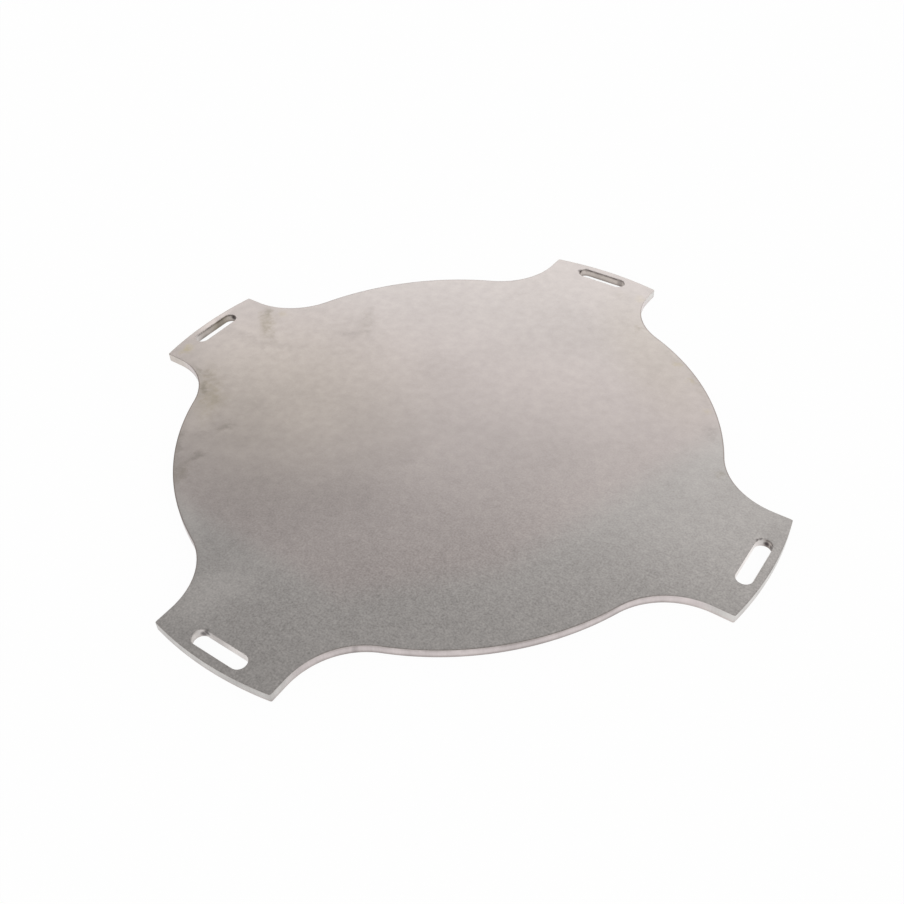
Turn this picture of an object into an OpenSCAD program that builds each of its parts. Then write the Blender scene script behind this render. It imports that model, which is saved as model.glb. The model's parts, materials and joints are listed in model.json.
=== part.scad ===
// Round griddle plate with slotted ears, cut in one piece from flat steel plate.
// Sizes are in millimetres. The origin is the centre of the underside and +Z is up.
// The first ear points along +X and the others follow it at even turns.

/* [Plate] */
// Thickness of the steel plate
plate_t = 6; // [3:0.5:12]
// Diameter of the round cooking area
disc_d = 352; // [280:1:420]

/* [Ears] */
// Number of ears round the plate
ear_count = 4; // [2:1:6]
// Width of an ear between its straight sides
ear_w = 84; // [50:1:110]
// How far an ear's tip stands out past the round cooking area
ear_reach = 44; // [34:1:80]
// Radius of the hollow curve that leads from an ear's side into the round rim
neck_r = 47; // [10:1:65]

/* [Finger slots] */
// Length of a slot, end to end, across its ear
slot_l = 38; // [20:1:64]
// Width of a slot, which is also the diameter of its round ends
slot_w = 10; // [6:0.5:18]
// Steel left between a slot and the tip of its ear
slot_bridge = 5.5; // [3:0.5:15]

/* [Hidden] */
$fn = 180;

// Colour of bare, pickled steel
steel_grey = [0.69, 0.66, 0.64];

disc_r = disc_d / 2;
// The ear tips are arcs about the plate's centre
tip_r = disc_r + ear_reach;
ear_half = ear_w / 2;
ear_step = 360 / ear_count;

// A neck's circle touches the round rim from outside and the ear's side from beside it
neck_centre_r = disc_r + neck_r;
neck_centre_y = ear_half + neck_r;
neck_turn = asin(neck_centre_y / neck_centre_r);
neck_centre_x = neck_centre_r * cos(neck_turn);

slot_end_r = slot_w / 2;
slot_straight = slot_l - slot_w;
slot_centre_r = tip_r - slot_bridge - slot_end_r;

// Fills the corner between the round rim and an ear's +Y side, hollowed by the neck's circle.
// Its outer sides run through the circle's centre, so they meet the curve at its touching points.
module neck() {
    difference() {
        polygon([[0, 0], [neck_centre_x, 0], [neck_centre_x, neck_centre_y]]);
        rotate(neck_turn)
            translate([neck_centre_r, 0])
                circle(neck_r);
    }
}

// The ear along +X with both its necks, trimmed to the tip arc
module ear() {
    intersection() {
        union() {
            translate([0, -ear_half])
                square([tip_r, ear_w]);
            neck();
            mirror([0, 1])
                neck();
        }
        circle(tip_r);
    }
}

// A long hole with round ends, across the ear along +X
module finger_slot() {
    translate([slot_centre_r, 0]) {
        square([slot_w, slot_straight], center = true);
        for (side = [-1, 1])
            translate([0, side * slot_straight / 2])
                circle(slot_end_r);
    }
}

module plate_outline() {
    difference() {
        union() {
            circle(disc_r);
            for (i = [0 : ear_count - 1])
                rotate(i * ear_step)
                    ear();
        }
        for (i = [0 : ear_count - 1])
            rotate(i * ear_step)
                finger_slot();
    }
}

module griddle_plate() {
    color(steel_grey)
        linear_extrude(plate_t)
            plate_outline();
}

griddle_plate();
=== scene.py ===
import json
import math

import bpy
import numpy as np
from mathutils import Matrix, Vector


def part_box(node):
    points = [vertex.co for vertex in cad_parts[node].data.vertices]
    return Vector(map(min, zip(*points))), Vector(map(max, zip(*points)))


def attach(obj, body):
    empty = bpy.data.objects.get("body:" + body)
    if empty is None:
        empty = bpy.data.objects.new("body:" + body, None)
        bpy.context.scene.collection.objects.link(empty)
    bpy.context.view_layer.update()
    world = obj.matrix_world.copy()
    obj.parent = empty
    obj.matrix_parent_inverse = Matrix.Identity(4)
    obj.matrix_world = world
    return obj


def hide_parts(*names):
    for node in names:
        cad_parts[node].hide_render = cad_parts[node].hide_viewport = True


# Round steel griddle plate with four slotted ears, laser cut in one piece from flat plate.
# The dictionaries give lengths in millimetres and turns in degrees. Blender and the frame are in metres.
# The plate lies on the floor: its underside is z = 0, +Z is up and an ear points along +X.
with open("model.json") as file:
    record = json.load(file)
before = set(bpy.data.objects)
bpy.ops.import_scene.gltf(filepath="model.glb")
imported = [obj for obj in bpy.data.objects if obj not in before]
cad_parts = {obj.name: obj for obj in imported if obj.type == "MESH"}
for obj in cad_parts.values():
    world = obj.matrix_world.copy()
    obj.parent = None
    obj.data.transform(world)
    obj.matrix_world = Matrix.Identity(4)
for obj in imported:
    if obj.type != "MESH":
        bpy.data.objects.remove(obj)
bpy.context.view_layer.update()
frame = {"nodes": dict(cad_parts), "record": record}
mm = 0.001
print("frame loaded:", ", ".join(sorted(frame["nodes"])))

# Settings that many nodes share
smooth = {"interpolation_type": "SMOOTHSTEP"}
mixColour = {"data_type": "RGBA"}            # from input 6 to input 7 by the share in input 0, at output 2
mixValue = {"data_type": "FLOAT"}            # from input 2 to input 3 by the share in input 0, at output 0
times = {"operation": "MULTIPLY"}
timesPlus = {"operation": "MULTIPLY_ADD"}    # input 0 x input 1 + input 2
larger = {"operation": "MAXIMUM"}
scale = {"operation": "SCALE"}
length = {"operation": "LENGTH"}
distance = {"operation": "DISTANCE"}
aboutZero = {"normalize": False}             # noise that runs about 0, and not from 0 to 1
plainWhite = (1.0, 1.0, 1.0, 1.0)


# Adds a shader node. Settings are the node's own properties. Inputs go by socket name or number,
# and each is a plain value or an output socket of another node to link from.
def addNode(tree, kind, settings=None, inputs=None):
    node = tree.nodes.new("ShaderNode" + kind)
    for name, value in (settings or {}).items():
        setattr(node, name, value)
    for name, value in (inputs or {}).items():
        if isinstance(value, bpy.types.NodeSocket):
            tree.links.new(value, node.inputs[name])
        else:
            node.inputs[name].default_value = value
    return node


# The distance of a place along a level direction: x cos(turn) + y sin(turn)
def addAlong(tree, place, turn):
    direction = (math.cos(math.radians(turn)), math.sin(math.radians(turn)), 0)
    return addNode(tree, "VectorMath", {"operation": "DOT_PRODUCT"}, {
        0: place, 1: direction}).outputs["Value"]


# Turns "#rrggbb" into linear light: c / 12.92 up to 0.04045,
# and ((c + 0.055) / 1.055) to the power 2.4 above it
def linear(hexColour):
    srgb = np.array([int(hexColour[i:i + 2], 16) for i in (1, 3, 5)]) / 255
    rgb = np.where(srgb <= 0.04045, srgb / 12.92, ((srgb + 0.055) / 1.055) ** 2.4)
    return (*rgb.tolist(), 1.0)


# Starts a material or world tree with nothing in it but its output node
def emptyTree(owner, outputKind):
    owner.use_nodes = True
    owner.node_tree.nodes.clear()
    return owner.node_tree, addNode(owner.node_tree, outputKind)


# Puts a mesh, a lamp or a camera into the scene, at the origin
def addObject(name, data):
    made = bpy.data.objects.new(name, data)
    bpy.context.scene.collection.objects.link(made)
    return made


# Camera: it stands to the right of the plate's -Y ear and looks down across the plate
cameraSetup = {
    "azimuth": 36.45,      # turn of the standpoint about +Z, from -Y towards +X
    "elevation": 42.52,    # height of the standpoint above the floor, as an angle
    "roll": -2.53,
    "distance": 650.6,     # from the lens to the plate's centre, along the view
    "centreRight": -2.97,  # where the plate's centre lies beside and below the view's axis
    "centreDown": -11.28,
    "lens": 39.57,
    "sensor": 36.0,
    "clipStart": 10.0,     # nearest distance that the camera shows
}


# Columns of the camera's matrix are its right, up and back directions.
# Back points from the plate to the lens, right is level, up = back x right, and the roll turns right and up.
def placeCamera(setup):
    turn, rise, roll = (math.radians(setup[k]) for k in ("azimuth", "elevation", "roll"))
    back = Vector((math.sin(turn) * math.cos(rise), -math.cos(turn) * math.cos(rise), math.sin(rise)))
    level = Vector((math.cos(turn), math.sin(turn), 0))
    upright = back.cross(level)
    right = level * math.cos(roll) + upright * math.sin(roll)
    up = upright * math.cos(roll) - level * math.sin(roll)
    place = back * setup["distance"] - right * setup["centreRight"] + up * setup["centreDown"]
    lens = bpy.data.cameras.new("camera")
    lens.sensor_fit = "HORIZONTAL"
    lens.sensor_width = setup["sensor"]
    lens.lens = setup["lens"]
    lens.clip_start = setup["clipStart"] * mm
    camera = addObject("camera", lens)
    camera.matrix_world = Matrix.Translation(place * mm) @ Matrix((right, up, back)).transposed().to_4x4()
    bpy.context.scene.camera = camera


placeCamera(cameraSetup)
bpy.context.scene.view_settings.view_transform = "Standard"
print("camera placed")

# Studio: a light tent with bright walls, a dimmer top behind and a bright one in front,
# and one soft panel low behind the plate
studio = {
    "wallLight": 1.36,
    "topLight": 0.58,
    "fadeFrom": 0.27,      # sine of the height at which the walls begin to fade into the top
    "fadeTo": 0.50,        # and at which they have faded
    "frontTurn": -53.5,    # direction of the bright front, from +X towards +Y
    "frontFrom": 0.0,      # the ray's share along it at which the front begins
    "frontTo": 0.7,        # and at which it is all front
    "panelTurn": 106,      # direction of the panel from the plate's centre, from +X towards +Y
    "panelReach": 420,
    "panelHeight": 190,
    "panelWide": 1200,
    "panelTall": 350,
    "panelLight": 1.26,    # radiance of its face
    "floorColour": "#FCFCFB",
    "floorLift": 0.95,     # share of plain white in the floor as the eye and the metal see it
    "floorHalf": 6000,
    "floorGap": 0.2,       # keeps the floor just clear of the underside
}


# The tent's light falls from the walls' value to the top's along a smooth step of the ray's upward part,
# and the top rises to the walls' value along a smooth step of the ray's forward part
def lightTent(setup):
    world = bpy.data.worlds.new("light tent")
    bpy.context.scene.world = world
    tree, output = emptyTree(world, "OutputWorld")
    direction = addNode(tree, "TexCoord").outputs["Generated"]
    upward = addNode(tree, "SeparateXYZ", inputs={0: direction}).outputs["Z"]
    forward = addAlong(tree, direction, setup["frontTurn"])
    top = addNode(tree, "MapRange", smooth, {
        "Value": forward, "From Min": setup["frontFrom"], "From Max": setup["frontTo"],
        "To Min": setup["topLight"], "To Max": setup["wallLight"]}).outputs[0]
    level = addNode(tree, "MapRange", smooth, {
        "Value": upward, "From Min": setup["fadeFrom"], "From Max": setup["fadeTo"],
        "To Min": setup["wallLight"], "To Max": top}).outputs[0]
    sky = addNode(tree, "Background", inputs={"Color": plainWhite, "Strength": level})
    tree.links.new(sky.outputs[0], output.inputs["Surface"])


# A panel's face has the radiance power / (pi x area), so power = pi x area x radiance.
# It lights the plate alone, as a flag in front of the paper would have it.
def lightPanel(setup, lit):
    turn = math.radians(setup["panelTurn"])
    reach = setup["panelReach"]
    place = Vector((reach * math.cos(turn), reach * math.sin(turn), setup["panelHeight"])) * mm
    lamp = bpy.data.lights.new("soft panel", "AREA")
    lamp.shape = "RECTANGLE"
    lamp.size = setup["panelWide"] * mm
    lamp.size_y = setup["panelTall"] * mm
    lamp.energy = math.pi * lamp.size * lamp.size_y * setup["panelLight"]
    panel = addObject("soft panel", lamp)
    panel.location = place
    panel.rotation_mode = "QUATERNION"
    panel.rotation_quaternion = (-place).to_track_quat("-Z", "Y")
    panel.visible_camera = False
    receivers = bpy.data.collections.new("lit by the panel")
    receivers.objects.link(lit)
    panel.light_linking.receiver_collection = receivers


# White paper: matt, and lifted towards plain white for the eye and for what mirrors it,
# so the shadow stays faint
def paperFloor(setup):
    half = setup["floorHalf"] * mm
    level = -setup["floorGap"] * mm
    corners = [(x * half, y * half, level) for x, y in ((-1, -1), (1, -1), (1, 1), (-1, 1))]
    mesh = bpy.data.meshes.new("floor")
    mesh.from_pydata(corners, [], [(0, 1, 2, 3)])
    material = bpy.data.materials.new("matt white paper")
    tree, output = emptyTree(material, "OutputMaterial")
    rays = addNode(tree, "LightPath").outputs
    seen = rays["Is Camera Ray"]
    for ray in ("Is Glossy Ray", "Is Transmission Ray"):
        seen = addNode(tree, "Math", larger, {0: seen, 1: rays[ray]}).outputs[0]
    lift = addNode(tree, "Math", times, {0: seen, 1: setup["floorLift"]}).outputs[0]
    paper = addNode(tree, "BsdfDiffuse", inputs={"Color": linear(setup["floorColour"])}).outputs[0]
    white = addNode(tree, "Emission", inputs={"Color": plainWhite, "Strength": 1.0}).outputs[0]
    mixed = addNode(tree, "MixShader", inputs={0: lift, 1: paper, 2: white}).outputs[0]
    tree.links.new(mixed, output.inputs["Surface"])
    mesh.materials.append(material)
    addObject("floor", mesh)


lightTent(studio)
paperFloor(studio)
print("studio lit")

# Plate: the sizes that the outline, the slots and the cut edges are worked out from
slotMount = next(m for m in frame["record"]["mounts"] if m["name"] == "finger_slot_px")
plate = {
    "node": "griddle_plate",
    "thickness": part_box("griddle_plate")[1].z / mm,
    "discRadius": 176.0,
    "tipRadius": 220.0,                          # ear tips are arcs about the plate's centre
    "earHalf": 42.0,                             # half the width of an ear
    "neckRadius": 47.0,                          # hollow curve from an ear's side into the rim
    "slotCentre": slotMount["pos_m"][0] / mm,    # from the plate's centre
    "slotRadius": 5.0,
    "slotStraight": 14.0,                        # half the straight part of a slot
    "earCount": 4,                               # the rim's mesh is laid out for quarter turns
    "cornerRound": 1.2,                          # ear corners, seen from above
    "edgeBreak": 0.4,                            # round along both edges of every cut wall
    "margin": 1.1,                               # flat strip beside each edge, where the cut left its heat
    "edgeCut": 0.4,                              # value of cut where the margin meets the edge break
    "slotBurnAndShade": 2.0,                             # how fast a slot's wall turns from painted pale to browner, partly burnt and partly painted shade
    "coreRadius": 150.0,                         # round middle of the mesh
    "coreCells": 90,
    "earSpread": 17,                             # half the angle of an ear's part of the mesh, whole degrees
    "ringRows": 6,
    "earRows": 8,
    "tipSteps": 14,
    "cornerSteps": 5,
    "sideSteps": 4,
    "neckSteps": 12,
    "roundSteps": 4,
    "wallSteps": 4,
    "weldSteps": 1e4,                            # to a millimetre: corners on the same step become one
}

# Every patch of the mesh is a grid of rows with these columns. Cut is 0 on the faces and 1 on the walls.
# The burnt-and-shaded column is 1 where a slot's wall is browner and darker, partly burnt and partly painted
# shade, 0 on the rim and -1 where a slot's wall is painted paler, a painted light.
columns = {"place": slice(0, 3), "normal": slice(3, 6), "cut": 6, "burnt": 7}
columnCount = 8


# Points of an arc: centre + radius (cos a, sin a). Paths run with the metal on their left, so on an arc
# that turns left the metal lies towards its centre, and on one that turns right away from it.
# Each row of a path is x, y and the unit direction into the metal.
def arcPath(centre, radius, start, end, steps):
    a = np.linspace(start, end, steps + 1)
    out = np.column_stack([np.cos(a), np.sin(a)])
    return np.hstack([np.asarray(centre) + radius * out, -out if end > start else out])


# The outline near one ear's axis in polar form, for angles a from the axis. On the neck's circle,
# whose centre is c away at the angle turn, r = c cos(a - turn) - sqrt(neck^2 - (c sin(a - turn))^2),
# and past it r is the disc's radius.
def rimRadius(a, p, neckTurn):
    c = p["discRadius"] + p["neckRadius"]
    off = np.minimum(a - neckTurn, 0)
    onNeck = c * np.cos(off) - np.sqrt(p["neckRadius"] ** 2 - (c * np.sin(off)) ** 2)
    return np.where(a < neckTurn, onNeck, p["discRadius"])


# The neck's circle touches the disc from outside and the ear's side, so its centre is
# disc + neck from the origin and neck beyond the ear's side
def neckCentre(p):
    far = p["discRadius"] + p["neckRadius"]
    y = p["earHalf"] + p["neckRadius"]
    return np.array([math.sqrt(far ** 2 - y ** 2), y]), math.asin(y / far)


# Rim between two ears, from the first ear's spread to the next one's, one point to a degree
def rimPath(p):
    centre, neckTurn = neckCentre(p)
    a = np.radians(np.arange(p["earSpread"], 90 - p["earSpread"] + 1))
    nearer = np.minimum(a, np.pi / 2 - a)
    ray = np.column_stack([np.cos(a), np.sin(a)])
    point = rimRadius(nearer, p, neckTurn)[:, None] * ray
    neck = np.where((a < np.pi / 4)[:, None], centre, centre[::-1])
    into = np.where((nearer < neckTurn)[:, None], (point - neck) / p["neckRadius"], -ray)
    return np.hstack([point, into])


# An ear's outline from its lower neck round the tip to its upper neck. The upper half is the tip arc,
# the corner round, the straight side and the neck's hollow, and the lower half is its mirror image run
# backwards. The corner's circle lies inside the tip arc and the side: its centre is at earHalf - round,
# and tip - round from the origin.
def earPath(p):
    centre, neckTurn = neckCentre(p)
    spread = math.radians(p["earSpread"])
    last = rimRadius(spread, p, neckTurn) * np.array([math.cos(spread), math.sin(spread)]) - centre
    lastTurn = math.atan2(last[1], last[0])
    cornerY = p["earHalf"] - p["cornerRound"]
    cornerX = math.sqrt((p["tipRadius"] - p["cornerRound"]) ** 2 - cornerY ** 2)
    cornerTurn = math.atan2(cornerY, cornerX)
    tip = arcPath((0, 0), p["tipRadius"], 0, cornerTurn, p["tipSteps"])
    corner = arcPath((cornerX, cornerY), p["cornerRound"], cornerTurn, np.pi / 2, p["cornerSteps"])
    sideX = np.linspace(cornerX, centre[0], p["sideSteps"] + 1)
    side = np.column_stack([sideX, np.full_like(sideX, p["earHalf"]), 0 * sideX, 0 * sideX - 1])
    neck = arcPath(centre, p["neckRadius"], -np.pi / 2, lastTurn, p["neckSteps"])
    upper = np.concatenate([tip[:-1], corner[:-1], side[:-1], neck])
    return np.concatenate([upper[:0:-1] * [1, -1, 1, -1], upper])


# The cut edge from the upper face to the lower one, as rows of inset, height, tilt of the normal from
# straight up, and cut: a flat margin, a quarter turn of the edge break with inset = e (1 - sin a) and
# height = t - e (1 - cos a), the straight wall, and the same again upside down
def cutProfile(p):
    t, e = p["thickness"], p["edgeBreak"]
    a = np.linspace(0, np.pi / 2, p["roundSteps"] + 1)
    cut = p["edgeCut"] + (1 - p["edgeCut"]) * a / a[-1]
    upper = np.column_stack([e * (1 - np.sin(a)), t - e * (1 - np.cos(a)), a, cut])
    upper = np.vstack([[p["margin"], t, 0, 0], upper])
    lower = upper[::-1] * [1, -1, -1, 1] + [0, t, np.pi, 0]
    height = np.linspace(t - e, e, p["wallSteps"] + 1)[1:-1]
    wall = np.column_stack([0 * height, height, np.full_like(height, np.pi / 2), np.ones_like(height)])
    return np.vstack([upper, wall, lower])


# Carries the profile along a path: place = path + inset x into, and normal = up cos(tilt) - into sin(tilt)
def cutBand(path, profile, burnt):
    inset, height, tilt, cut = (column[:, None] + 0 * path[:, 0] for column in profile.T)
    x, y, intoX, intoY = path.T
    lean = -np.sin(tilt)
    return np.stack([x + inset * intoX, y + inset * intoY, height,
                     lean * intoX, lean * intoY, np.cos(tilt), cut, burnt + 0 * cut], axis=-1)


# Straight lines between two curves: (1 - w) inner + w outer, for even steps of w
def ruledGrid(inner, outer, rows):
    w = np.linspace(0, 1, rows + 1)[:, None, None]
    return (1 - w) * inner + w * outer


# A square grid bent onto a disc without a pole: ring k of the square becomes the circle of radius k,
# and even steps along its sides become even angles
def discGrid(radius, cells):
    s = np.linspace(-1, 1, cells + 1)
    u, v = np.meshgrid(s, s, indexing="ij")
    wide = np.abs(u) >= np.abs(v)
    r = np.where(wide, u, v)
    share = np.where(wide, v, u) / np.where(r == 0, 1, r) * np.pi / 4
    angle = np.where(wide, share, np.pi / 2 - share)
    return np.stack([radius * r * np.cos(angle), radius * r * np.sin(angle)], axis=-1)


# Lays a flat grid on the upper face (side 1) or the lower one (side -1): z is the thickness or 0,
# and the normal is straight up or down
def onFace(grid, side, thickness):
    flat = np.zeros(grid.shape[:2] + (columnCount,))
    height = thickness if side > 0 else 0
    flat[..., :2] = grid
    flat[..., columns["place"]][..., 2] = height
    flat[..., columns["normal"]][..., 2] = side
    return flat


# Turns a patch about +Z by whole ears: x and y of each place and normal go through the turn's matrix
def turned(patch, k, count):
    a = 2 * np.pi * k / count
    spin = np.array([[math.cos(a), math.sin(a)], [-math.sin(a), math.cos(a)]])
    made = patch.copy()
    for name in ("place", "normal"):
        made[..., columns[name]][..., :2] = patch[..., columns[name]][..., :2] @ spin
    return made


# Faces of a grid: corners (i, j), (i + 1, j), (i + 1, j + 1), (i, j + 1),
# closed along the columns where wrap is set
def gridFaces(shape, wrap, flip):
    index = np.arange(shape[0] * shape[1]).reshape(shape[:2])
    if wrap:
        index = np.hstack([index, index[:, :1]])
    quads = np.stack([index[:-1, :-1], index[1:, :-1], index[1:, 1:], index[:-1, 1:]], axis=-1)
    quads = quads.reshape(-1, 4)
    return quads[:, ::-1] if flip else quads


# Joins patches into one mesh: corners that fall on the same step of a fine grid become one vertex
def weldPatches(name, patches, steps):
    rows = np.concatenate([patch.reshape(-1, columnCount) for patch, wrap, flip in patches])
    starts = np.cumsum([0] + [patch.shape[0] * patch.shape[1] for patch, wrap, flip in patches])
    faces = np.concatenate([gridFaces(patch.shape, wrap, flip) + start
                            for (patch, wrap, flip), start in zip(patches, starts)])
    step = np.round(rows[:, columns["place"]] * steps).astype(np.int64)
    first, inverse = np.unique(step, axis=0, return_index=True, return_inverse=True)[1:]
    rows, faces = rows[first], inverse.reshape(-1)[faces]
    mesh = bpy.data.meshes.new(name)
    mesh.from_pydata(rows[:, columns["place"]] * mm, [], faces)
    mesh.polygons.foreach_set("use_smooth", np.ones(len(faces), bool))
    for attribute in ("cut", "burnt"):
        values = rows[:, columns[attribute]].astype(np.float32)
        mesh.attributes.new(attribute, "FLOAT", "POINT").data.foreach_set("value", values)
    mesh.normals_split_custom_set_from_vertices(rows[:, columns["normal"]])
    edges = np.sort(np.stack([faces, np.roll(faces, -1, axis=1)], axis=-1).reshape(-1, 2), axis=1)
    uses = np.unique(edges, axis=0, return_counts=True)[1]
    print(f"{name}: {len(rows)} vertices, {len(faces)} quads, "
          f"edges not shared by two faces: {np.sum(uses != 2)}")
    return mesh


# The whole plate: on each face a round middle, a ring piece between each pair of ears and a grid round
# each slot, and between the faces the cut walls of the outline and of the slots
def plateMesh(p):
    profile = cutProfile(p)
    rim, ear = rimPath(p), earPath(p)
    rimInner = rim[:, :2] + p["margin"] * rim[:, 2:]
    earInner = ear[:, :2] + p["margin"] * ear[:, 2:]
    # The middle's edge over a quarter turn, one point to a degree: an ear's part and the rim's
    a = np.radians(np.arange(-p["earSpread"], 90 - p["earSpread"] + 1))
    core = p["coreRadius"] * np.column_stack([np.cos(a), np.sin(a)])
    earCore, rimCore = np.split(core, [2 * p["earSpread"]])
    earCore = np.vstack([earCore, rimCore[:1]])
    ring = ruledGrid(rimCore, rimInner, p["ringRows"])
    # The loop round a slot: the ear's outline, one edge of the ring, the middle's arc
    # and the next ring's edge
    upperEdge = ring[:, 0]
    lowerEdge = upperEdge * [1, -1]
    loop = np.concatenate([earInner, upperEdge[-2::-1], earCore[-2::-1], lowerEdge[1:-1]])
    # Each point of the loop looks straight at the slot, a line thickened by the slot's radius
    onLine = np.column_stack([np.full(len(loop), p["slotCentre"]),
                              np.clip(loop[:, 1], -p["slotStraight"], p["slotStraight"])])
    look = loop - onLine
    look /= np.linalg.norm(look, axis=1)[:, None]
    slot = np.hstack([onLine + p["slotRadius"] * look, look])
    aroundSlot = ruledGrid(slot[:, :2] + p["margin"] * look, loop, p["earRows"])
    outline = cutBand(np.concatenate([ear, rim[1:]]), profile, 0)
    # A slot's wall is darker at its ends and on the tip's side, which faces the middle, partly burnt and
    # partly painted shade, and its wall on the middle's side, which faces out, is painted paler than the
    # rim's, a painted light: 1 + the slot's rate from pale to dark x the outward part of the look, held
    # between -1 and 1
    slotWall = cutBand(slot, profile, np.clip(1 + p["slotBurnAndShade"] * look[:, 0], -1, 1))
    middle = discGrid(p["coreRadius"], p["coreCells"])
    patches = []
    for side in (1, -1):
        patches.append((onFace(middle, side, p["thickness"]), False, side < 0))
        for k in range(p["earCount"]):
            for grid, wrap in ((ring, False), (aroundSlot, True)):
                patch = turned(onFace(grid, side, p["thickness"]), k, p["earCount"])
                patches.append((patch, wrap, side < 0))
    for k in range(p["earCount"]):
        patches.append((turned(outline, k, p["earCount"]), False, False))
        patches.append((turned(slotWall, k, p["earCount"]), True, True))
    return weldPatches("griddlePlate", patches, p["weldSteps"])


# Steel: hot-rolled mild steel plate, pickled clean of scale and laser cut.
# Pickling leaves a satin, faintly warm grey with a fine matt grain, and handling leaves dull scuffs
# and oily smears. The laser leaves pale walls and a thin brown line of heat along each edge. The walls are
# darker along the foot, a painted shade where they meet the floor, and paler towards one side, a painted
# light.
# In the slots, where the heat gathers, the walls that face the middle are browner with a dark brow, partly
# heat and partly painted shade, the walls that face out are painted paler, a painted light, and dark spots
# at their ends and corners are painted shade.
steel = {
    "face": "#A8A09D",
    "rinsed": "#A3A29F",
    "oil": "#9A9078",
    "heat": "#746A64",
    # Dark brown of the slots' heat, and also of the painted shade at their ends and corners
    "scorchAndShade": "#352B2D",
    "wallUpper": "#CEC5C4",
    # wallLower, earLower and slotFoot are the walls' foot: darker, a painted shade where it meets the floor
    "wallLower": "#A09795",
    "earLower": "#C0B7B4",
    "tipWall": "#CAC7C4",
    # Slot walls: browner and darker where they face the middle, partly heat and partly painted shade, and
    # painted paler where they face out, a painted light
    "slotWall": "#B6AEA8",
    "slotFoot": "#8A817C",
    "slotPale": "#E6E0DD",
    "warmWall": "#D4CBC4",
    "brownWall": "#8C8168",
    "roughness": 0.44,
    "grainScatter": 0.02,        # change of roughness with the grain
    "wallRoughness": 0.36,
    "bumpStrength": 0.35,
    "bumpDepth": 0.013,          # height of the grain and of the laser ribs
    # Patterns of the face: size in mm, detail and contrast.
    # The pickled grain is nearer 0.2 mm, drawn coarser to show.
    "grain": (1.2, 2.0, 0.17),
    "pebble": (2.6, 1.0, 0.07),
    "mottle": (7.0, 5.0, 0.055),
    "cloud": (75.0, 4.0, 0.04),
    "patternRoughness": 0.55,    # roughness of the noise in all four
    # Share of the grain that rubbing has left: along the turn, from the first place and share to the second
    "grainTurn": -53.5,
    "grainLeft": ((10.0, 0.22), (145.0, 1.42)),
    # Thin films of oil: place, half length, half width, turn and share.
    # Under the first, the mottle is stronger by a share of its own.
    "films": ((-122, -35, 155, 135, 0, 0.20), (78, 139, 108, 40, -43, 0.14)),
    "filmMottle": 0.35,
    # Rinsed borders: each grows along its turn, from the first distance to the second, up to its share
    "rinsedBorders": (
        (-18, 100, 130, 0.55), (-45, 110, 140, 0.55), (-92, 136, 157, 0.55), (105, 50, 150, 0.2)),
    # Share of heat colour in the line along the rim's edges: along the turn, from the first place
    # and share to the second
    "heatTurn": 126.5,
    "rimHeat": ((-140.0, 0.5), (60.0, 0.9)),
    "earHeat": 0.14,             # and along the ears' edges
    "heatFull": 0.45,            # value of cut at which the line is full
    "wallFrom": 0.6,             # value of cut at which the wall's finish begins to show
    "earFrom": (180.0, 205.0),   # distance from the centre over which the ears' finish follows the rim's
    "tipFrom": (198.0, 214.0),   # and the tips' finish follows the ears'
    "foot": (0.2, 2.7),          # height over which a wall goes from its darker foot, a painted shade where it meets the floor, to its pale upper part
    "brow": (2.0, 0.6),          # depth below the upper face at which a wall's dark brow begins and is full
    "rimBrow": 0.2,              # share of heat colour in the brow along the rim
    "earBrow": 0.0,              # along the ears
    "slotBrow": 0.55,            # and in the slots
    "browUneven": -1.2,          # how far the brow follows the stretches: below 0, it is darker in dull ones
    # Noise of a wall's duller stretches: length, detail and roughness
    "blotch": (11.0, 2.0, 0.6),
    "blotchContrast": 0.14,
    # Laser ribs: their size along x, y and z, nearer 0.4 mm across but drawn coarser to show,
    # and the noise that they are drawn with: size in ribs, detail and roughness
    "ribs": (1.1, 1.1, 14.0),
    "ribNoise": (1.0, 2.0, 0.5),
    "ribContrast": 0.05,
    # Brightness of the walls, a painted light that grows along the turn: from the first place and brightness
    # to the second
    "wallLightTurn": 63.0,
    "paintedWallLight": ((-190.0, 0.91), (200.0, 1.16)),
    "leadIn": (58.5, -168.7),    # where the cut of the outline began and left a dark tick
    "leadInFade": (0.3, 2.4),    # distance from it over which the tick fades
    "leadInTone": 0.78,          # brightness in the tick
    # Noise that frays the edges of handling marks, and noise of the strokes that they are made up of:
    # size, detail and roughness
    "markWarp": (7.0, 3.0, 0.6),
    "scuff": (3.6, 4.0, 0.6),
    "strokes": ((0.3, 0.35), (0.7, 1.65)),    # a mark's strength at two values of the second noise
    "markFray": 3.0,             # how far the first noise moves the edges
    "markFade": 1.5,             # a mark has faded at this many times its half size
    "markDepth": 4.0,            # and at this depth below the upper face
    "markCore": 0.1,             # share of an ellipse's half size within which it is full
    "spotCore": 0.25,            # share of a spot's radius within which it is full
}

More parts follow.
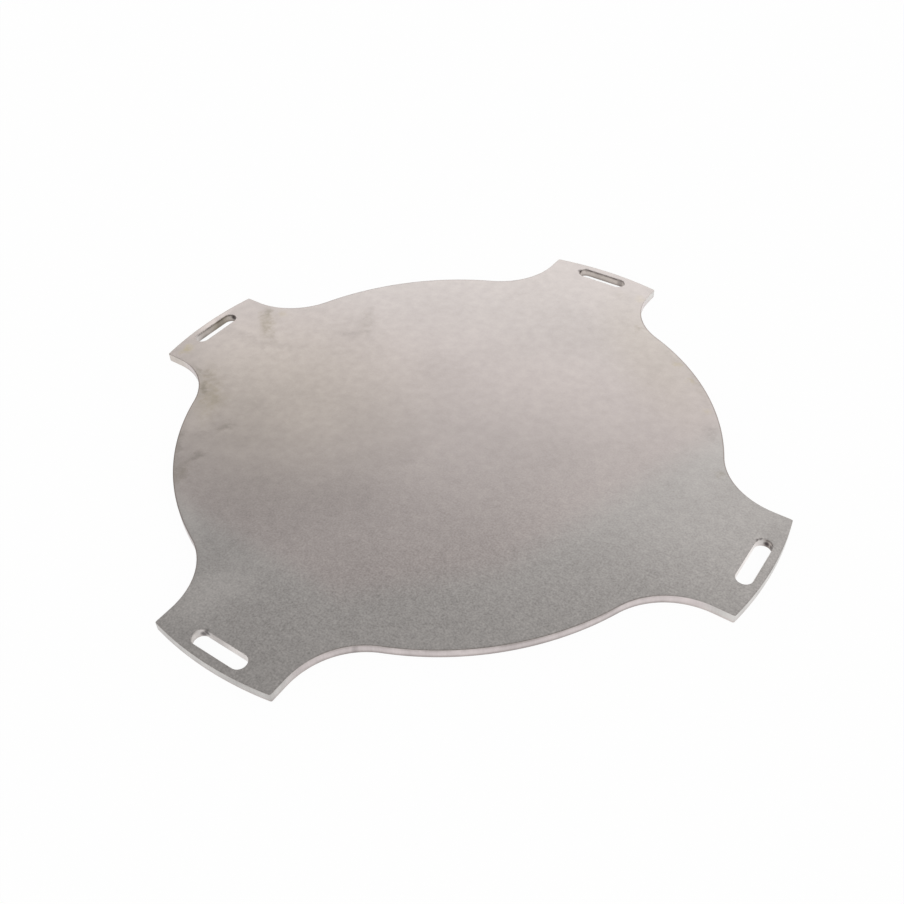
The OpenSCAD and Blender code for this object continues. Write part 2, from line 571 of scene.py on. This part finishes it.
# Handling marks on the upper face: place, half length, half width, turn,
# share darkened (paled if below 0) and share of oil
marks = {
    "west ear streak": (-182, 26, 17, 6, -46, 0.13, 0.24),
    "west ear streak's head": (-191, 35, 6, 4, -45, 0.08, 0.05),
    "west ear tan spot": (-179, 40, 5, 4, -30, -0.03, 0.25),
    "west tip tan spot": (-208, -30, 5, 4, 60, -0.08, 0.50),
    "west ear line": (-183, 3, 18, 6, -4, 0.09, 0.0),
    "west ear line's bend": (-153, 8, 16, 4, 26, 0.07, 0.0),
    "west ear line's end": (-139, 18, 7, 4, 48, 0.06, 0.0),
    "west ear smudge": (-169, 12, 11, 6, -40, 0.08, 0.04),
    "west shoulder spot": (-130, 62, 7, 5, 0, 0.05, 0.0),
    "west shoulder band": (-120, 67, 17, 6, -60, 0.09, 0.04),
    "west shoulder hook": (-120, 48, 11, 5, 38, 0.08, 0.0),
    "west lower neck": (-160, -58, 28, 9, -48, 0.07, 0.20),
    "west lower neck edge": (-166, -57, 7, 3, -50, 0.17, 0.10),
    "west lower neck line": (-183, -45.5, 10, 2, -27, 0.15, 0.08),
    "west lower neck spot": (-176, -43, 5, 3, -40, 0.12, 0.05),
    "west lower neck smear": (-148, -60, 12, 8, -45, 0.01, 0.10),
    "west rim spot": (-124, -79, 5, 4, 10, 0.19, 0.05),
    "west rim smudge": (-122, -49, 8, 6, 0, 0.05, 0.0),
    "west rim dash": (-133, -93, 5, 3, 20, 0.11, 0.0),
    "west rim dot": (-142, -100, 5, 4, 0, 0.13, 0.04),
    "west rim band": (-134, -113, 16, 3, -50, 0.12, 0.03),
    "west rim streak": (-119, -110, 8, 4, 84, 0.16, 0.04),
    "west rim smear": (-117, -125, 10, 6, -50, 0.11, 0.12),
    "middle streak": (-5, -38, 16, 4, 56, 0.045, 0.0),
    "south slot's side": (-25, -213, 5, 5, 0, 0.07, 0.0),
    "north rim edge": (118, 127, 22, 4, -47, 0.08, 0.05),
    "north ear smudge": (23, 197, 7, 5, -20, 0.05, 0.05),
    "north ear side": (39, 199, 4, 5, 80, -0.02, 0.25),
    "north ear root": (38, 167, 8, 5, -20, 0.045, 0.0),
    "north rim brow": (89, 146, 14, 4, -31, 0.06, 0.03),
    "north ear neck": (54, 166, 5, 3, -40, 0.10, 0.10),
    "north rim upper": (95.5, 140, 4, 3, -45, -0.03, 0.30),
    "north rim middle": (112.5, 129, 4, 3, -40, -0.02, 0.25),
    "north rim low": (134.5, 104, 4, 3, -55, -0.02, 0.20),
    "north rim lower": (145, 87, 8, 5, -60, 0.13, 0.0),
    "east neck": (165, 55, 4, 3, -60, 0.06, 0.15),
}

# Broad areas that handling has rubbed paler or left duller, and one painted highlight along the west ear's
# tip:
# place, half length, half width, turn and share brightened
rubs = {
    "west": (-162, -10, 80, 48, 0, 0.075),
    "west of the middle": (-84, -42, 46, 30, 0, 0.06),
    "west shoulder": (-118, 46, 32, 22, 30, -0.05),
    "above the middle": (-42, 48, 40, 30, 0, -0.045),
    "north": (15, 135, 70, 45, 0, -0.06),
    "north rim": (95, 120, 82, 36, -45, -0.02),
    "beside the middle": (64, 6, 36, 21, 60, -0.03),
    "east": (130, -15, 75, 60, 0, 0.045),
    "east ear": (192, -4, 60, 56, 0, 0.09),
    "below the middle": (-8, -80, 48, 33, 20, -0.06),
    "lower west": (-66, -114, 68, 40, 18, -0.09),
    # a painted highlight along the edge of the west ear's tip, not a rub
    "west tip": (-217, 5, 5, 26, 0, 0.28),
    "west rim": (-146, -80, 28, 14, -58, 0.11),
    "lower west rim": (-87, -148, 42, 10, -32, 0.13),
    "lower west streak": (-106, -82, 30, 9, 36, -0.04),
    "above the north middle": (-5, 100, 46, 26, 36, -0.03),
    "middle": (-19, -38, 46, 17, 54, -0.035),
    "east shoulder": (158, 40, 22, 16, -60, 0.045),
    "south": (-20, -150, 34, 20, 15, 0.06),
    "south ear's root": (-18, -172, 20, 13, 0, 0.08),
    "south ear's shoulder": (-40, -168, 12, 9, 0, -0.05),
    "south ear": (-33, -186, 24, 36, 0, 0.19),
}

# Dark spots of painted shade at the slots' ends and corners, most of them on the walls: place, height,
# radius and share
scorches = {
    "east slot's burn": (209.7, 19.0, 2.7, 2.7, 0.9),
    "east slot's end": (213.0, 17.5, 2.6, 2.5, 0.8),
    "east slot's brow": (204.8, 15.8, 5.7, 1.5, 0.55),
    "east slot's upper brow": (206.2, 17.6, 5.7, 1.5, 0.5),
    "east slot's halo": (211, 25, 6, 10, 0.075),
    "north slot's west end": (-18.9, 209.7, 5.6, 2.9, 0.7),
    "north slot's west brow": (-16.0, 214.2, 5.4, 2.4, 0.25),
    "north slot's east end": (13.8, 214.5, 2.8, 4.2, 0.42),
    "west slot's end": (-210.2, 18.9, 3.7, 2.8, 0.9),
    "west slot's tip side": (-214.5, 9.0, 3.2, 6.0, 0.22),
    "south slot's inner corner": (-14.2, -204.5, 4.2, 3.0, 0.85),
    "south slot's inner end": (-16.3, -205.1, 2.4, 2.9, 0.75),
}

# Stretches of the walls with a tint of their own: place, height, radius, share and colour
wallTints = {
    "west slot's lower end": (-211, -18, 3, 11, 0.6, "slotPale"),
    "west slot's tip side": (-214.5, 8, 3, 13, 0.42, "brownWall"),
    "west slot's middle": (-214.5, -3, 6, 9, 0.35, "slotWall"),
    "west ear's lower side": (-208, -42, 3, 18, 0.9, "warmWall"),
    "south slot's end": (-19, -210.5, 2.5, 5, 0.7, "slotPale"),
    "south slot's inner side": (-6, -204.5, 2.4, 13, 0.42, "slotFoot"),
}


# An ellipse on the upper face is 1 in its middle and fades to 0 at its edge: the point is moved to the
# ellipse's own axes, each axis divided by its half size, and the length of the result runs through
# a smooth step
def addEllipse(tree, place, p, x, y, halfLong, halfWide, turn):
    own = addNode(tree, "Mapping", {"vector_type": "TEXTURE"}, {
        "Vector": place, "Location": (x, y, plate["thickness"]), "Rotation": (0, 0, math.radians(turn)),
        "Scale": (halfLong, halfWide, p["markDepth"])}).outputs[0]
    away = addNode(tree, "VectorMath", length, {0: own}).outputs["Value"]
    return addNode(tree, "MapRange", smooth, {
        "Value": away, "From Min": p["markCore"], "From Max": 1.0, "To Min": 1.0, "To Max": 0.0}).outputs[0]


# Adds up value x share over pairs of a value and its share
def addSum(tree, pairs):
    total = 0.0
    for value, share in pairs:
        total = addNode(tree, "Math", timesPlus, {0: value, 1: share, 2: total}).outputs[0]
    return total


# Marks are ellipses with frayed edges, and the sum of them all is broken up into strokes by a fine noise.
# The result is the share darkened and the share of oil.
def addMarks(tree, place, p):
    size, detail, roughness = p["markWarp"]
    warp = addNode(tree, "TexNoise", aboutZero, {
        "Vector": place, "Scale": 1 / size, "Detail": detail, "Roughness": roughness}).outputs["Color"]
    frayed = addNode(tree, "VectorMath", timesPlus, {
        0: warp, 1: (p["markFray"], p["markFray"], 0.0), 2: place}).outputs[0]
    size, detail, roughness = p["scuff"]
    scuff = addNode(tree, "TexNoise", inputs={
        "Vector": place, "Scale": 1 / size, "Detail": detail, "Roughness": roughness}).outputs["Fac"]
    (low, weak), (high, strong) = p["strokes"]
    stroke = addNode(tree, "MapRange", inputs={
        "Value": scuff, "From Min": low, "From Max": high, "To Min": weak, "To Max": strong}).outputs[0]
    fade = p["markFade"]
    spots = [(addEllipse(tree, frayed, p, x, y, halfLong * fade, halfWide * fade, turn), dark, oil)
             for x, y, halfLong, halfWide, turn, dark, oil in marks.values()]
    darkened = addSum(tree, [(spot, dark) for spot, dark, oil in spots])
    oiled = addSum(tree, [(spot, oil) for spot, dark, oil in spots])
    return [addNode(tree, "Math", times, {0: total, 1: stroke}).outputs[0] for total in (darkened, oiled)]


# A spot fades from its share to 0 along a smooth step of the distance from its middle
def addSpot(tree, place, p, x, y, height, radius, share):
    away = addNode(tree, "VectorMath", distance, {0: place, 1: (x, y, height)}).outputs["Value"]
    return addNode(tree, "MapRange", smooth, {
        "Value": away, "From Min": radius * p["spotCore"], "From Max": radius,
        "To Min": share, "To Max": 0.0}).outputs[0]


# A value that changes evenly along a turn, from the first place and value to the second,
# and is level past them
def addSlope(tree, place, turn, ends):
    (start, before), (end, after) = ends
    return addNode(tree, "MapRange", inputs={
        "Value": addAlong(tree, place, turn), "From Min": start, "From Max": end,
        "To Min": before, "To Max": after}).outputs[0]


# What the finish is worked out from at each point: its place in mm, the same with no height, its height
# and its cut. The burnt-and-shaded and pale parts are the mesh's burnt-and-shaded value above and below 0:
# heat and painted shade on slot walls that face the middle, painted light on those that face out. onEar and
# onTip are smooth steps of the distance from the centre.
def readSurface(tree, p):
    metres = addNode(tree, "TexCoord").outputs["Object"]
    place = addNode(tree, "VectorMath", scale, {0: metres, "Scale": 1 / mm}).outputs[0]
    level = addNode(tree, "VectorMath", times, {0: place, 1: (1, 1, 0)}).outputs[0]
    fromCentre = addNode(tree, "VectorMath", length, {0: level}).outputs["Value"]
    heated = addNode(tree, "Attribute", {"attribute_name": "burnt"}).outputs["Fac"]
    surface = {
        "place": place,
        "level": level,
        "height": addNode(tree, "SeparateXYZ", inputs={0: place}).outputs["Z"],
        "cut": addNode(tree, "Attribute", {"attribute_name": "cut"}).outputs["Fac"],
    }
    for name, full in (("burnt", 1), ("pale", -1)):
        surface[name] = addNode(tree, "MapRange", inputs={"Value": heated, "From Max": full}).outputs[0]
    for name, (start, end) in (("onEar", p["earFrom"]), ("onTip", p["tipFrom"])):
        surface[name] = addNode(tree, "MapRange", smooth, {
            "Value": fromCentre, "From Min": start, "From Max": end}).outputs[0]
    return surface


# Brightness of the face: 1 + the rubs and the painted highlight - the marks + each pattern, which runs about
# 0, x its contrast.
# Oil makes the mottle stronger, and rubbing has worn the pebble and the grain.
# The result is the brightness and the last pattern, the grain.
def faceBrightness(tree, place, p, dark, film):
    rubbing = addSum(tree, [(addEllipse(tree, place, p, *area), share) for *area, share in rubs.values()])
    bright = addNode(tree, "Math", {"operation": "ADD"}, {0: rubbing, 1: 1.0}).outputs[0]
    bright = addNode(tree, "Math", {"operation": "SUBTRACT"}, {0: bright, 1: dark}).outputs[0]
    oiled = addNode(tree, "Math", timesPlus, {0: film, 1: p["filmMottle"], 2: 1.0}).outputs[0]
    worn = addSlope(tree, place, p["grainTurn"], p["grainLeft"])
    strength = {"mottle": oiled, "pebble": worn, "grain": worn}
    for name in ("cloud", "mottle", "pebble", "grain"):
        size, detail, contrast = p[name]
        pattern = addNode(tree, "TexNoise", aboutZero, {
            "Vector": place, "Scale": 1 / size, "Detail": detail,
            "Roughness": p["patternRoughness"]}).outputs["Fac"]
        if name in strength:
            pattern = addNode(tree, "Math", times, {0: pattern, 1: strength[name]}).outputs[0]
        bright = addNode(tree, "Math", timesPlus, {0: pattern, 1: contrast, 2: bright}).outputs[0]
    return bright, pattern


# Colour of the face: a tint that is cooler along the rinsed borders and warmer under the films and the
# smears of oil, x its brightness. The result is the colour and the grain.
def faceColour(tree, place, p):
    dark, smears = addMarks(tree, place, p)
    films = [(addEllipse(tree, place, p, *area), share) for *area, share in p["films"]]
    oil = addNode(tree, "Math", {"operation": "ADD"}, {0: smears, 1: addSum(tree, films)}).outputs[0]
    rinsed = 0.0
    for turn, start, end, share in p["rinsedBorders"]:
        border = addNode(tree, "MapRange", smooth, {
            "Value": addAlong(tree, place, turn), "From Min": start, "From Max": end,
            "To Min": 0.0, "To Max": share}).outputs[0]
        rinsed = addNode(tree, "Math", larger, {0: border, 1: rinsed}).outputs[0]
    tint = addNode(tree, "Mix", mixColour, {
        0: rinsed, 6: linear(p["face"]), 7: linear(p["rinsed"])}).outputs[2]
    tint = addNode(tree, "Mix", mixColour, {0: oil, 6: tint, 7: linear(p["oil"])}).outputs[2]
    bright, grain = faceBrightness(tree, place, p, dark, films[0][0])
    return addNode(tree, "VectorMath", scale, {0: tint, "Scale": bright}).outputs[0], grain


# Heat line along an edge: it grows across the flat margin, is full where the edge break begins,
# and is weaker on the ears. Pale walls have none.
def edgeHeat(tree, surface, p):
    rimHeat = addSlope(tree, surface["place"], p["heatTurn"], p["rimHeat"])
    share = addNode(tree, "Mix", mixValue, {0: surface["onEar"], 2: rimHeat, 3: p["earHeat"]}).outputs[0]
    share = addNode(tree, "Mix", mixValue, {0: surface["pale"], 2: share, 3: 0.0}).outputs[0]
    return addNode(tree, "MapRange", smooth, {
        "Value": surface["cut"], "From Min": 0.0, "From Max": p["heatFull"],
        "To Min": 0.0, "To Max": share}).outputs[0]


# A wall before its brow and its stretches' own tints: pale above, darker along the foot, a painted shade
# where it meets the floor, greyer at the ears' tips, and in the slots browner and darker, partly heat and
# partly painted shade, on walls that face the middle, and paler, a painted light, on walls that face out
def plainWall(tree, surface, p):
    onEar, burnt = surface["onEar"], surface["burnt"]
    above = addNode(tree, "Mix", mixColour, {
        0: surface["onTip"], 6: linear(p["wallUpper"]), 7: linear(p["tipWall"])}).outputs[2]
    above = addNode(tree, "Mix", mixColour, {0: burnt, 6: above, 7: linear(p["slotWall"])}).outputs[2]
    below = addNode(tree, "Mix", mixColour, {
        0: onEar, 6: linear(p["wallLower"]), 7: linear(p["earLower"])}).outputs[2]
    below = addNode(tree, "Mix", mixColour, {0: burnt, 6: below, 7: linear(p["slotFoot"])}).outputs[2]
    upper = addNode(tree, "MapRange", smooth, {
        "Value": surface["height"], "From Min": p["foot"][0], "From Max": p["foot"][1]}).outputs[0]
    wall = addNode(tree, "Mix", mixColour, {0: upper, 6: below, 7: above}).outputs[2]
    return addNode(tree, "Mix", mixColour, {
        0: surface["pale"], 6: wall, 7: linear(p["slotPale"])}).outputs[2]


# Share of heat colour in a wall's brow: dark in the slots and faint on the rim, x how uneven it is,
# along a smooth step of the height. Pale walls have none.
def wallBrow(tree, surface, p, blotch):
    share = addNode(tree, "Mix", mixValue, {
        0: surface["onEar"], 2: p["rimBrow"], 3: p["earBrow"]}).outputs[0]
    share = addNode(tree, "Mix", mixValue, {0: surface["burnt"], 2: share, 3: p["slotBrow"]}).outputs[0]
    uneven = addNode(tree, "Math", timesPlus, {0: blotch, 1: p["browUneven"], 2: 1.0}).outputs[0]
    share = addNode(tree, "Math", times, {0: share, 1: uneven}).outputs[0]
    start, full = (plate["thickness"] - depth for depth in p["brow"])
    brow = addNode(tree, "MapRange", smooth, {
        "Value": surface["height"], "From Min": start, "From Max": full,
        "To Min": 0.0, "To Max": share}).outputs[0]
    return addNode(tree, "Mix", mixValue, {0: surface["pale"], 2: brow, 3: 0.0}).outputs[0]


# Brightness of a wall: a painted light that grows along one turn + faint ribs that run down it + duller
# stretches, x the dark tick where the cut began
def wallBrightness(tree, surface, p, ribs, blotch):
    bright = addSlope(tree, surface["place"], p["wallLightTurn"], p["paintedWallLight"])
    for pattern, contrast in ((ribs, p["ribContrast"]), (blotch, p["blotchContrast"])):
        bright = addNode(tree, "Math", timesPlus, {0: pattern, 1: contrast, 2: bright}).outputs[0]
    away = addNode(tree, "VectorMath", distance, {
        0: surface["level"], 1: (*p["leadIn"], 0)}).outputs["Value"]
    tick = addNode(tree, "MapRange", smooth, {
        "Value": away, "From Min": p["leadInFade"][0], "From Max": p["leadInFade"][1],
        "To Min": p["leadInTone"], "To Max": 1.0}).outputs[0]
    return addNode(tree, "Math", times, {0: bright, 1: tick}).outputs[0]


# Colour of the walls: the plain wall, mixed with heat in its brow and with the stretches' own tints,
# x its brightness. The result is the colour and the ribs.
def wallColour(tree, surface, p, heatColour):
    place = surface["place"]
    size, detail, roughness = p["blotch"]
    blotch = addNode(tree, "TexNoise", aboutZero, {
        "Vector": place, "Scale": 1 / size, "Detail": detail, "Roughness": roughness}).outputs["Fac"]
    inRibs = addNode(tree, "VectorMath", times, {
        0: place, 1: [1 / rib for rib in p["ribs"]]}).outputs[0]
    size, detail, roughness = p["ribNoise"]
    ribs = addNode(tree, "TexNoise", aboutZero, {
        "Vector": inRibs, "Scale": 1 / size, "Detail": detail, "Roughness": roughness}).outputs["Fac"]
    wall = addNode(tree, "Mix", mixColour, {
        0: wallBrow(tree, surface, p, blotch), 6: plainWall(tree, surface, p), 7: heatColour}).outputs[2]
    for *spot, tint in wallTints.values():
        wall = addNode(tree, "Mix", mixColour, {
            0: addSpot(tree, place, p, *spot), 6: wall, 7: linear(p[tint])}).outputs[2]
    bright = wallBrightness(tree, surface, p, ribs, blotch)
    return addNode(tree, "VectorMath", scale, {0: wall, "Scale": bright}).outputs[0], ribs


# The whole finish: the face with its heat line gives way to the wall along a smooth step of cut, and
# spots of painted shade at the slots' ends and corners lie over both. Where two of them meet, the stronger
# one shows.
# The grain makes the face a little rougher or smoother, the wall is smoother than the face,
# and the grain and the ribs stand up a little.
def steelMaterial(p):
    material = bpy.data.materials.new("pickled hot-rolled steel, laser cut")
    tree, output = emptyTree(material, "OutputMaterial")
    surface = readSurface(tree, p)
    face, grain = faceColour(tree, surface["place"], p)
    # Heat colour, darker on slot walls that face the middle: partly heat, partly painted shade
    heatColour = addNode(tree, "Mix", mixColour, {
        0: surface["burnt"], 6: linear(p["heat"]), 7: linear(p["scorchAndShade"])}).outputs[2]
    edged = addNode(tree, "Mix", mixColour, {
        0: edgeHeat(tree, surface, p), 6: face, 7: heatColour}).outputs[2]
    wall, ribs = wallColour(tree, surface, p, heatColour)
    onWall = addNode(tree, "MapRange", smooth, {
        "Value": surface["cut"], "From Min": p["wallFrom"], "From Max": 1.0}).outputs[0]
    colour = addNode(tree, "Mix", mixColour, {0: onWall, 6: edged, 7: wall}).outputs[2]
    # Spots of painted shade at the slots' ends and corners
    scorched = 0.0
    for spot in scorches.values():
        scorched = addNode(tree, "Math", larger, {
            0: addSpot(tree, surface["place"], p, *spot), 1: scorched}).outputs[0]
    colour = addNode(tree, "Mix", mixColour, {0: scorched, 6: colour, 7: linear(p["scorchAndShade"])}).outputs[2]
    faceRough = addNode(tree, "Math", timesPlus, {
        0: grain, 1: p["grainScatter"], 2: p["roughness"]}).outputs[0]
    rough = addNode(tree, "Mix", mixValue, {0: onWall, 2: faceRough, 3: p["wallRoughness"]}).outputs[0]
    relief = addNode(tree, "Mix", mixValue, {0: onWall, 2: grain, 3: ribs}).outputs[0]
    bump = addNode(tree, "Bump", inputs={
        "Strength": p["bumpStrength"], "Distance": p["bumpDepth"] * mm, "Height": relief}).outputs[0]
    shader = addNode(tree, "BsdfPrincipled", inputs={
        "Base Color": colour, "Metallic": 1.0, "Roughness": rough, "Normal": bump})
    tree.links.new(shader.outputs[0], output.inputs["Surface"])
    return material


mesh = plateMesh(plate)
mesh.materials.append(steelMaterial(steel))
griddlePlate = addObject("griddlePlate", mesh)
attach(griddlePlate, "root")
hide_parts(plate["node"])
lightPanel(studio, griddlePlate)
print("plate made")
